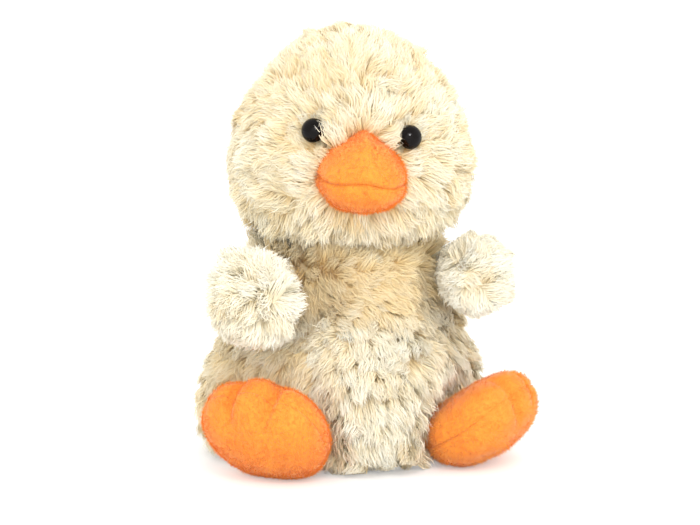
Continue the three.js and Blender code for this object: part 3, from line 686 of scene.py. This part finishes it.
def tuft_strips(roots, facing, flow, side, rise, run, warmth_and_shade, gather, rng):
    """The strands of every tuft: pale in its middle and warm round it, with a few that stray."""
    count = len(roots) * STRANDS_PER_TUFT
    which = np.repeat(np.arange(len(roots)), STRANDS_PER_TUFT)
    angle, share_out = rng.uniform(0, 2 * math.pi, count), np.sqrt(rng.uniform(0, 1, count))
    radius = share_out * TUFT_REACH * TUFT_SPACING
    out_along, out_across = radius * np.cos(angle), radius * np.sin(angle)
    n, f, s = facing[which], flow[which], side[which]
    grow = rng.uniform(*GROW_RANGE, count)
    loose = rng.uniform(0, 1, count) < LOOSE_SHARE
    tall = rise[which] * grow * np.where(loose, LOOSE_REACH, rng.normal(1, GROW_SPREAD, count))
    far = run[which] * grow
    draws = rng.normal(gather, GATHER_SPREAD, len(roots))
    gather = np.clip(draws, LEAST_GATHER, MOST_GATHER)[which]
    frizz = rng.normal(0, STRAND_FRIZZ, (count, 3, 2)) * PATH_FRIZZ[:, None]
    bow = rng.normal(0, TUFT_BOW, len(roots))[which]
    paths = np.empty((count, 3, 3))
    for step, share in enumerate(PATH_SHARES):
        along = far * share**1.3 + out_along * (1 - 0.6 * share)
        across = out_across * (1 - gather * share) + bow * math.sin(math.pi * share)
        height = tall * (1 - (1 - share) ** 2)
        paths[:, step] = (
            roots[which] + n * height[:, None]
            + f * (along + frizz[:, step, 0])[:, None] + s * (across + frizz[:, step, 1])[:, None]
        )
    paths[:, :, 2] = np.maximum(paths[:, :, 2], lowest(paths))
    strips = ribbons(paths, n, rng)
    tints = warmth_and_shade[which] + 0.3 * share_out**3 - 0.1 + rng.normal(0, STRAND_TINT, count)
    return strips, np.clip(tints, 0, 1)


# Curves, as in the CAD


def closed_curve(half, turns):
    """Points of the closed curve through an outline's half and its mirror image."""
    points = np.array(list(half) + [(-x, y) for x, y in half[-2:0:-1]])
    count = len(points)
    place = np.mod(turns, 1) * count
    index = np.floor(place).astype(int) % count
    t = (place - np.floor(place))[:, None]
    p = [points[(index + k) % count] for k in (-1, 0, 1, 2)]
    v0, v1 = (p[2] - p[0]) / 2, (p[3] - p[1]) / 2
    return (
        (2 * p[1] - 2 * p[2] + v0 + v1) * t**3
        + (-3 * p[1] + 3 * p[2] - 2 * v0 - v1) * t**2 + v0 * t + p[1]
    )


def pad_edge(climb, fullness):
    angle = math.pi * (climb - 0.5)
    out = np.maximum(np.cos(angle), 0) ** (2 / fullness)
    rise = np.sign(angle) * np.abs(np.sin(angle)) ** (2 / fullness)
    return out, rise


# Caps and short plush


def dome(rows, around):
    """Faces of a cap: rings of points from its rim inward, then the point at its middle."""
    faces = []
    for ring, step in itertools.product(range(rows - 1), range(around)):
        a, b = ring * around + step, ring * around + (step + 1) % around
        faces.append((a, b, b + around, a + around))
    last = (rows - 1) * around
    faces += [(last + step, last + (step + 1) % around, rows * around) for step in range(around)]
    return faces


def dome_places(rows, around, bunching=1):
    """Where a cap's points lie: turns round it, and shares of the way in from its rim."""
    shares = np.linspace(0, 1, rows + 1)[:-1] ** bunching
    turns = np.append(np.tile(np.arange(around) / around, rows), 0)
    return turns, np.append(np.repeat(shares, around), 1)


def vertex_normals(points, faces):
    total = np.zeros_like(points)
    for size in sorted({len(f) for f in faces}):
        same = np.array([f for f in faces if len(f) == size])
        a, b, c = (points[same[:, k]] for k in (0, 1, size - 1))
        for k in range(size):
            np.add.at(total, same[:, k], np.cross(b - a, c - a))
    return unit(total)


def closed_sheet(points, faces, thickness, rim):
    """A cap given a thickness: the outside, the inside, and a strip that joins them round the rim."""
    inner = points - vertex_normals(points, faces) * thickness
    count = len(points)
    whole = list(faces) + [tuple(count + i for i in reversed(f)) for f in faces]
    whole += [(b, a, count + a, count + b) for a, b in zip(rim, rim[1:] + rim[:1])]
    return np.concatenate([points, inner]), whole


def form_of(*sheets):
    """What keeps pile out of a form that is given as its outside sheets."""
    points, faces, start = [], [], 0
    for sheet_points, sheet_faces in sheets:
        points.append(sheet_points)
        faces += [[i + start for i in face] for face in sheet_faces]
        start += len(sheet_points)
    points = np.concatenate(points)
    return tree_of(points, faces), points.min(0), points.max(0)


def outer_form(panels):
    """What keeps pile out of a form that is given as its panels."""
    return form_of(*[(p.points, p.corners[p.outer]) for p in panels])


def plush_piece(node, body, outside, faces, rim, seam_shade, seed, turn):
    """Short plush: a cloth with thickness, with painted shade down in its seams and creases, and the nap on
    it.
    """
    rng = np.random.default_rng(seed)
    points, whole = closed_sheet(outside, faces, PLUSH_THICKNESS, rim)
    quads = np.array([f if len(f) == 4 else (*f, f[2]) for f in faces])
    a, b, c, d = (outside[quads[:, k]] for k in range(4))
    normals = np.cross(c - a, d - b) / 2
    areas = np.linalg.norm(normals, axis=1)
    count = int(areas.sum() / MM**2 * FUZZ_PER_MM2)
    drawn = rng.choice(len(areas), count, p=areas / areas.sum())
    u, v = rng.uniform(0, 1, (2, count, 1))
    q = quads[drawn]
    root = (
        outside[q[:, 0]] * (1 - u) * (1 - v) + outside[q[:, 1]] * u * (1 - v)
        + outside[q[:, 2]] * u * v + outside[q[:, 3]] * (1 - u) * v
    )
    facing = unit(normals[drawn])
    nap = turn @ NAP_FLOW + 0.9 * noise_vectors(root, NAP_PATCH, seed + 20)
    nap = unit(nap - facing * dots(nap, facing) + rng.normal(0, NAP_STRAY, (count, 3)))
    side = unit(np.cross(facing, nap)) * FUZZ_WIDTH / 2
    reach = FUZZ_LENGTH * rng.uniform(*FUZZ_RANGE, (count, 1))
    tip = root + facing * reach * FUZZ_RISE + nap * reach * FUZZ_RUN
    tip[:, 2] = np.maximum(tip[:, 2], FLOOR_GAP)
    strips = np.stack([root - side, root + side, tip], 1).reshape(-1, 3)
    start = len(points)
    every = np.concatenate([points, strips])
    mesh = bpy.data.meshes.new(f"{node}_plush")
    strip_faces = (start + np.arange(3 * count)).reshape(-1, 3).tolist()
    mesh.from_pydata(every.tolist(), [], [tuple(int(i) for i in f) for f in whole] + strip_faces)
    streaks = 0.4 * noise(root * NAP_STREAKS, 1.2 * MM, seed + 60)
    # The nap's colour: painted shade in seams and creases, plus a darker tone in streaks and at random.
    tone_and_seam_shade = np.clip(seam_shade[q].mean(1) + streaks + rng.normal(0.14, 0.12, count), 0, 1)
    values = np.zeros((len(every), 4), np.float32)
    # The outside carries the painted seam shade, and the inner sheet the darker colour throughout.
    values[: len(outside), 1] = seam_shade
    values[len(outside): start, 1] = 1
    values[start:, 0] = np.tile(FUZZ_SHARES, count)
    values[start:, 1] = np.repeat(tone_and_seam_shade, 3)
    store_strands(mesh, values)
    add_piece(mesh, orange, body, node)


# Feet


def foot_points(turns, climb):
    """The padded foot in its own frame: toes towards -Y, instep up."""
    out, rise = pad_edge(climb, FOOT_FULLNESS)
    toed = smoothstep(out, 0.6, 1)[:, None]
    rim = toed * closed_curve(FOOT_OUTLINE, turns) + (1 - toed) * closed_curve(FOOT_MIDDLE, turns)
    across, along = rim[:, 0] * out, rim[:, 1] * out
    toes = smoothstep(along, TOE_PINCH_START, 1)
    plump = 1 - TOE_PINCH * toes * bell(np.abs(across) - TOE_NOTCH, TOE_PINCH_WIDTH)
    return np.stack([
        FOOT_HALF_WIDTH * across, -FOOT_HALF_LENGTH * along,
        FOOT_HALF_THICKNESS * rise * plump + FOOT_CURL * along**2,
    ], 1), across, along


def foot_frame(side):
    """The turn and place of a foot: tipped up on its heel and turned out."""
    turn = rotation("Z", SIDES[side] * FOOT_ANGLE) @ rotation("X", -FOOT_TILT[side])
    around, up = np.linspace(0, 1, 34, endpoint=False), np.linspace(0, 1, 10)
    turns, climbs = (grid.ravel() for grid in np.meshgrid(around, up))
    lowest = (foot_points(turns, climbs)[0] @ turn.T)[:, 2].min()
    place = np.array([
        SIDES[side] * FOOT_DISTANCE * math.sin(FOOT_ANGLE), -FOOT_DISTANCE * math.cos(FOOT_ANGLE),
        -lowest - SEAT_FLAT,
    ])
    return turn, place


def build_foot(side):
    turn, place = foot_frame(side)
    turns, inward = dome_places(FOOT_ROWS, FOOT_AROUND, 1.15)
    from_seam = inward * FOOT_HALF_WIDTH * 1.6
    sheets = []
    for half, top, seed in (("upper", 1, 5), ("sole", -1, 6)):
        points, across, along = foot_points(turns, 0.5 + top * 0.5 * inward)
        faces = [face[::top] for face in dome(FOOT_ROWS, FOOT_AROUND)]
        groove = bell(from_seam, FOOT_GROOVE_WIDTH)
        wander = 2.5 * noise(points, 6 * MM, 3)
        gathers = np.sin(turns * 2 * math.pi * PUCKERS + wander) * np.exp(-from_seam / PUCKER_REACH)
        toe = smoothstep(along, 0.8, 1.02) * bell(np.abs(across) - TOE_NOTCH, TOE_GROOVE_WIDTH)
        move = lumpy(points, FOOT_LUMPS, 11) - FOOT_GROOVE * groove
        move += PUCKER_DEPTH * gathers - TOE_GROOVE * toe
        world = (points + vertex_normals(points, faces) * move[:, None]) @ turn.T + place
        world[:, 2] = np.maximum(world[:, 2], FLOOR_GAP)
        rim = list(range(FOOT_AROUND))[::top]
        # Painted shade in the seam's groove and in the toes' creases.
        seam_shade = np.clip(0.15 * groove + 0.2 * toe, 0, 1)
        plush_piece(f"{side}_foot_{half}", f"{side}_foot", world, faces, rim, seam_shade, seed, turn)
        sheets.append((world, faces))
    return form_of(*sheets)


# Head


def head_turned(points):
    """From the head's own frame, whose origin is the neck, to the duckling's."""
    return points @ rotation("Z", HEAD_TURN).T + np.array([NECK_SHIFT, 0, NECK_HEIGHT])


def face_depth(height):
    """How far forward of the neck the face lies at a height above it, at its middle."""
    level = (height - HEAD_CENTRE_HEIGHT) / HEAD_HALF_HEIGHT
    girth = (1 - abs(level) ** HEAD_FULLNESS) ** (1 / HEAD_FULLNESS) * (1 - HEAD_TAPER * level)
    return HEAD_HALF_DEPTH * girth + HEAD_LEAN


def mouth_wave(x):
    """How the mouth's line rises and falls across the beak."""
    share = x / BEAK_HALF_WIDTH
    return (0.5 * np.cos(share * 5.4 + 0.4) - 1.1 * share**2 - 0.35 * share) * MM


def cut_at_mouth(points, top):
    """The half of the whole beak above or below its mouth: its points, its triangles and the edges
    of the cut."""
    grid = bmesh.new()
    vertices = [grid.verts.new(p) for p in points]
    for face in dome(BEAK_ROWS, BEAK_AROUND):
        grid.faces.new([vertices[i] for i in face])
    bmesh.ops.bisect_plane(
        grid, geom=grid.verts[:] + grid.edges[:] + grid.faces[:],
        plane_co=(0, 0, -MOUTH_DROP), plane_no=(0, 0, -top), clear_outer=True,
    )
    bmesh.ops.triangulate(grid, faces=grid.faces[:])
    bmesh.ops.recalc_face_normals(grid, faces=grid.faces[:])
    grid.verts.index_update()
    points = np.array([v.co for v in grid.verts])
    faces = [tuple(v.index for v in f.verts) for f in grid.faces]
    if face_normals(points, np.array(faces))[:, 1].mean() > 0:
        faces = [face[::-1] for face in faces]
    edges = [tuple(v.index for v in e.verts) for e in grid.edges if len(e.link_faces) == 1]
    grid.free()
    return points, faces, edges


def build_beak():
    turn = rotation("X", BEAK_DROOP) @ rotation("Y", BEAK_ROLL)
    place = np.array([0, -face_depth(BEAK_HEIGHT) + BEAK_REACH - BEAK_PROUD, BEAK_HEIGHT])
    turns, inward = dome_places(BEAK_ROWS, BEAK_AROUND)
    out, rise = pad_edge(0.5 + 0.5 * inward, BEAK_FULLNESS)
    x, z = (closed_curve(BEAK_OUTLINE, 0.25 - turns) * out[:, None]).T
    sheets = []
    for half, top, seed in (("upper", 1, 9), ("lower", -1, 7)):
        reach = BEAK_REACH - (0 if top > 0 else LIP_SETBACK)
        whole = np.stack([BEAK_HALF_WIDTH * x, -reach * rise, BEAK_HALF_HEIGHT * z], 1)
        points, faces, edges = cut_at_mouth(whole, top)
        below = np.abs(points[:, 2] + MOUTH_DROP)
        swell = LIP_SWELL[half] * bell(below - LIP_SWELL_PLACE, LIP_SWELL_WIDTH)
        move = swell - LIP_ROLL * bell(below, LIP_ROLL_WIDTH) + lumpy(points, BEAK_LUMPS, 31)
        points = points + vertex_normals(points, faces) * move[:, None]
        points[:, 2] += mouth_wave(points[:, 0]) * bell(below, MOUTH_WAVE_REACH)
        # The mouth's dark line is painted shade in the seam between the lips.
        world, seam_shade = head_turned(points @ turn.T + place), bell(below, MOUTH_SHADE_WIDTH)
        plush_piece(f"beak_{half}", "head", world, faces, joined(edges), seam_shade, seed, head_rotation() @ turn)
        sheets.append((world, faces))
    return form_of(*sheets)


def head_rotation():
    return rotation("Z", HEAD_TURN)


def joined(edges):
    """The points of a closed line in order, from its edges."""
    ahead = {}
    for a, b in edges:
        ahead.setdefault(a, []).append(b)
        ahead.setdefault(b, []).append(a)
    line, last = [edges[0][0]], None
    while True:
        near = [n for n in ahead[line[-1]] if n != last and (n != line[0] or len(line) > 2)]
        if not near or near[0] == line[0]:
            return line
        last = line[-1]
        line.append(near[0])


def eye_axis(side):
    """Where the middle of an eye's bead lies, and which way it looks."""
    bead, _ = node_triangles(f"{side}_eye")
    washer, _ = node_triangles(f"{side}_eye_washer")
    axis = unit(bead.mean(0) - washer.mean(0))
    return bead.mean(0), axis, bead


def build_eye(side):
    """A bead turned round its axis from an outline: the shank, the back, the rim and the dome."""
    middle, axis, bead = eye_axis(side)
    heights = (bead - middle) @ axis
    spread = np.linalg.norm((bead - middle) - heights[:, None] * axis, axis=1)
    radius, top, bottom = spread.max(), heights.max(), heights.min()
    rim = heights[spread > 0.99 * radius].max()
    shank = spread[np.abs(heights - bottom) < 1e-5].max()
    outline = [(shank * 0.7, bottom), (shank, bottom + 0.4 * MM), (shank, rim - radius * 0.55)]
    for share in (1, 0.7, 0.4, 0.15):
        outline.append((radius * (1 - 0.45 * share**2), rim - radius * 0.5 * share))
    for angle in np.linspace(0, math.pi / 2, EYE_ROWS)[:-1]:
        outline.append((radius * math.cos(angle), rim + (top - rim) * math.sin(angle)))
    angles = 2 * math.pi * np.arange(EYE_AROUND) / EYE_AROUND
    points = [(r * math.cos(a), r * math.sin(a), h) for r, h in outline for a in angles]
    points = np.array([*points, (0, 0, top), (0, 0, bottom)])
    turn = np.array(Vector(axis).to_track_quat("Z", "Y").to_matrix())
    faces = dome(len(outline), EYE_AROUND)
    faces += [(len(points) - 1, (step + 1) % EYE_AROUND, step) for step in range(EYE_AROUND)]
    mesh = bpy.data.meshes.new(f"{side}_eye_bead")
    mesh.from_pydata((middle + points @ turn.T).tolist(), [], faces)
    mesh.update()
    add_piece(mesh, gloss, "head", f"{side}_eye")


# What lies inside


def build_wad(node, body, material, lump):
    """A wad of stuffing, or the bag of pellets: the CAD solid's form, remeshed and lumpy."""
    wad = add_object(f"{node}_wad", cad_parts[node].data.copy())
    change = wad.modifiers.new("remesh", "REMESH")
    change.mode, change.voxel_size = "VOXEL", WAD_VOXEL
    bpy.context.view_layer.update()
    graph = bpy.context.evaluated_depsgraph_get()
    mesh = bpy.data.meshes.new_from_object(wad.evaluated_get(graph))
    wad.modifiers.clear()
    wad.data = mesh
    points = np.array([v.co for v in mesh.vertices])
    normals = np.array([v.normal for v in mesh.vertices])
    lumps = noise(points, 4 * WAD_VOXEL, 51) + 0.5 * noise(points, 2 * WAD_VOXEL, 52)
    points += normals * ((lumps - 1.5) * lump)[:, None]
    mesh.vertices.foreach_set("co", points.astype(np.float32).ravel())
    mesh.polygons.foreach_set("use_smooth", np.ones(len(mesh.polygons), bool))
    mesh.materials.clear()
    mesh.materials.append(material)
    mesh.update()
    stand_in(wad, body, node)


# How the pile is combed


def comb_head(points, facing):
    """Away from the beak, and down at the back and low on the sides."""
    beak = head_turned(np.array([0, -face_depth(BEAK_HEIGHT), BEAK_HEIGHT]))
    ahead = head_rotation() @ np.array([0, -1, 0])
    behind = 0.5 - 0.5 * (facing @ ahead)
    low = smoothstep(NECK_HEIGHT + 48 * MM - points[:, 2], 0, 40 * MM)
    down = np.array([0, 0, -1.0]) * (0.25 * low + 1.1 * behind * (1 - facing[:, 2]))[:, None]
    return unit(points - beak) + down + 0.8 * noise_vectors(points, CLUMP_SIZE, 61)


def comb_torso(points, facing):
    """Down, but across the chest, and up on the shoulders."""
    down = np.array([[0, 0, -1.0]])
    chest = above(points, 44, 62) * smoothstep(-facing[:, 1], 0.2, 0.7)
    shoulder = above(points, 66, 76)
    sideways, upwards = np.array([0.85, -0.25, 0.5]), np.array([0, 0, 2.0])
    flow = down + chest[:, None] * sideways + shoulder[:, None] * upwards
    return flow + 0.8 * noise_vectors(points, CLUMP_SIZE, 71)


def comb_wing(side):
    """The right wing's pile spreads from its end like a pompom, the left one's runs out and down."""
    points = both_halves(f"{side}_wing", ("outer", "inner"))
    tip = points[points[:, 1].argmin()] + np.array([0, 2 * MM, 0])
    flow, spread = WING_COMB[side]

    def comb(spots, facing):
        wander = 0.5 * noise_vectors(spots, 9 * MM, 81 + SIDES[side])
        return np.array(flow) + spread * unit(spots - tip) + wander

    return comb


def comb_tail(points, facing):
    return np.array([[0, 1.0, 0.1]]) + 0.4 * noise_vectors(points, 10 * MM, 91)


def steady(values):
    """For each value, a rule that gives it everywhere."""
    return [lambda points, facing, value=value: np.full(len(points), value) for value in values]


def torso_lean(points, facing):
    return 0.9 + 0.12 * above(points, 50, 62) - 0.4 * above(points, 66, 74)


def torso_height(points, facing):
    """Long pile, which lies flat where the duckling sits on it and fills the way to the feet."""
    seat = above(points, 0.5, 7)
    angle = np.abs(np.arctan2(points[:, 0], -points[:, 1]))
    beside = bell(angle - 0.5, 0.3) * smoothstep(42 * MM - points[:, 2], 0, 16 * MM)
    armpit = bell(angle - 1.2, 0.45) * above(points, 44, 54)
    return 0.7 + (0.55 + 1.0 * beside + 0.8 * armpit) * seat


def torso_warmth_shade_and_bounce(points, facing):
    """Painted shade: a deeper, warmer colour on the chest under the head and a little round the neck;
    painted shade and orange bounce light beside the foot on its right; over a warm tone everywhere.
    """
    chest = above(points, 46, 62) * smoothstep(-facing[:, 1], 0, 0.6)
    neck = above(points, 60, 70)
    # Painted shade and orange bounce light beside the foot.
    beside = smoothstep(-points[:, 0], 14 * MM, 26 * MM) * smoothstep(50 * MM - points[:, 2], 0, 12 * MM)
    return 0.25 + 0.75 * np.maximum(chest, np.maximum(0.35 * neck, 0.6 * beside))


def torso_painted_root_light(points, facing):
    """Painted light: the roots are lifted towards the tips' colour all over, and most on the shoulders,
    where the head shades them.
    """
    chest = smoothstep(-facing[:, 1], 0, 0.6)
    return 0.3 + 0.4 * (1 - chest) * above(points, 64, 74)


def over_neck(points):
    """1 low on the head, where its pile hangs over the neck, and 0 above."""
    return smoothstep(NECK_HEIGHT + 17 * MM - points[:, 2], 0, 12 * MM)


def head_height(points, facing):
    """Long pile that hangs lowest over the neck, and is short round the eyes."""
    low = over_neck(points)
    return (1.25 + 0.8 * low) * (0.45 + 0.55 * smoothstep(eye_gaps(points), 5 * MM, 10 * MM))


def head_lean(points, facing):
    return 0.98 - 0.2 * over_neck(points)


def eye_gaps(points):
    """How far points in front of the face lie from the nearer eye's axis."""
    gaps = np.ones(len(points))
    for side in SIDES:
        middle, axis, _ = eye_axis(side)
        away = points - middle
        ahead = away @ axis
        gap = np.linalg.norm(away - ahead[:, None] * axis, axis=1)
        gaps = np.where(ahead > -6 * MM, np.minimum(gaps, gap), gaps)
    return gaps


def keep_eyes_clear(spots, tips):
    return (eye_gaps(spots) > EYE_SPOT_GAP) & (eye_gaps(tips) > EYE_TIP_GAP)


def tail_outside(torso):
    """Says which triangles of the tail's panels face away from its middle, outside the torso."""
    points = both_halves("tail", ("upper", "lower"))
    middle = (points.min(0) + points.max(0)) / 2

    def is_outer(points, corners, centres, normals):
        away = unit(centres - middle)
        return ((away * normals).sum(1) > 0.35) & ~inside_any(centres, [torso], 1.2 * MM)

    return is_outer


# The duckling

build_camera()
build_floor()
build_light()

cream, orange, gloss = pile_material(), plush_material(), eye_material()
wadding = fibre_material("white_wadding", WADDING, 700)
cotton = fibre_material("bag_cotton", COTTON, 1500)
plastic, _, shader = new_material("washer_plastic", 0.45)
shader.inputs["Base Color"].default_value = colour(WASHERS)

feet = [build_foot(side) for side in SIDES]
beak = build_beak()
for side in SIDES:
    build_eye(side)
    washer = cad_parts[f"{side}_eye_washer"]
    washer.data.materials.clear()
    washer.data.materials.append(plastic)

wing_panels = {side: panels_over(f"{side}_wing", ("outer", "inner")) for side in SIDES}
torso_panels = panels_over("torso", ("front_panel", "back_left", "back_right", "base"), brim_facing=1)
head_panels = panels_over("head", ("centre_gusset", "side_left", "side_right"), brim_facing=-1)
is_outer, ground = tail_outside(outer_form(torso_panels)), ground_below(TAIL_PILE_DEPTH)
tail_panels = [Panel(f"tail_{half}", is_outer, ground) for half in ("upper", "lower")]
wing_forms = [outer_form(panels) for panels in wing_panels.values()]
grow_pile(
    torso_panels, "torso", comb_torso, torso_height, torso_lean, torso_warmth_shade_and_bounce, torso_painted_root_light,
    feet + wing_forms, seed=101,
)
grow_pile(
    head_panels, "head", comb_head, head_height, head_lean, *steady(PILE_TINTS["head"]), [beak],
    seed=102, keep=keep_eyes_clear,
)
for side, panels in wing_panels.items():
    rules = *steady(WING_PILE[side]), *steady(PILE_TINTS["wing"])
    grow_pile(
        panels, f"{side}_wing", comb_wing(side), *rules, [], seed=103 + SIDES[side], gather=WING_GATHER,
    )
rules = *steady(TAIL_PILE), *steady(PILE_TINTS["tail"])
grow_pile(tail_panels, "torso", comb_tail, *rules, [], seed=106)

WADS = [
    ("torso_stuffing", "torso", 0.7), ("neck_stuffing", "neck", 0.6), ("head_stuffing", "head", 0.75),
    ("beak_stuffing", "head", 0.6),
    *[(f"{side}_{limb}_stuffing", f"{side}_{limb}", 0.6) for side in SIDES for limb in ("wing", "foot")],
]
for node, body, fill in WADS:
    build_wad(node, body, wadding, WAD_LUMPS)
build_wad("pellet_bag", "torso", cotton, BAG_LUMPS)
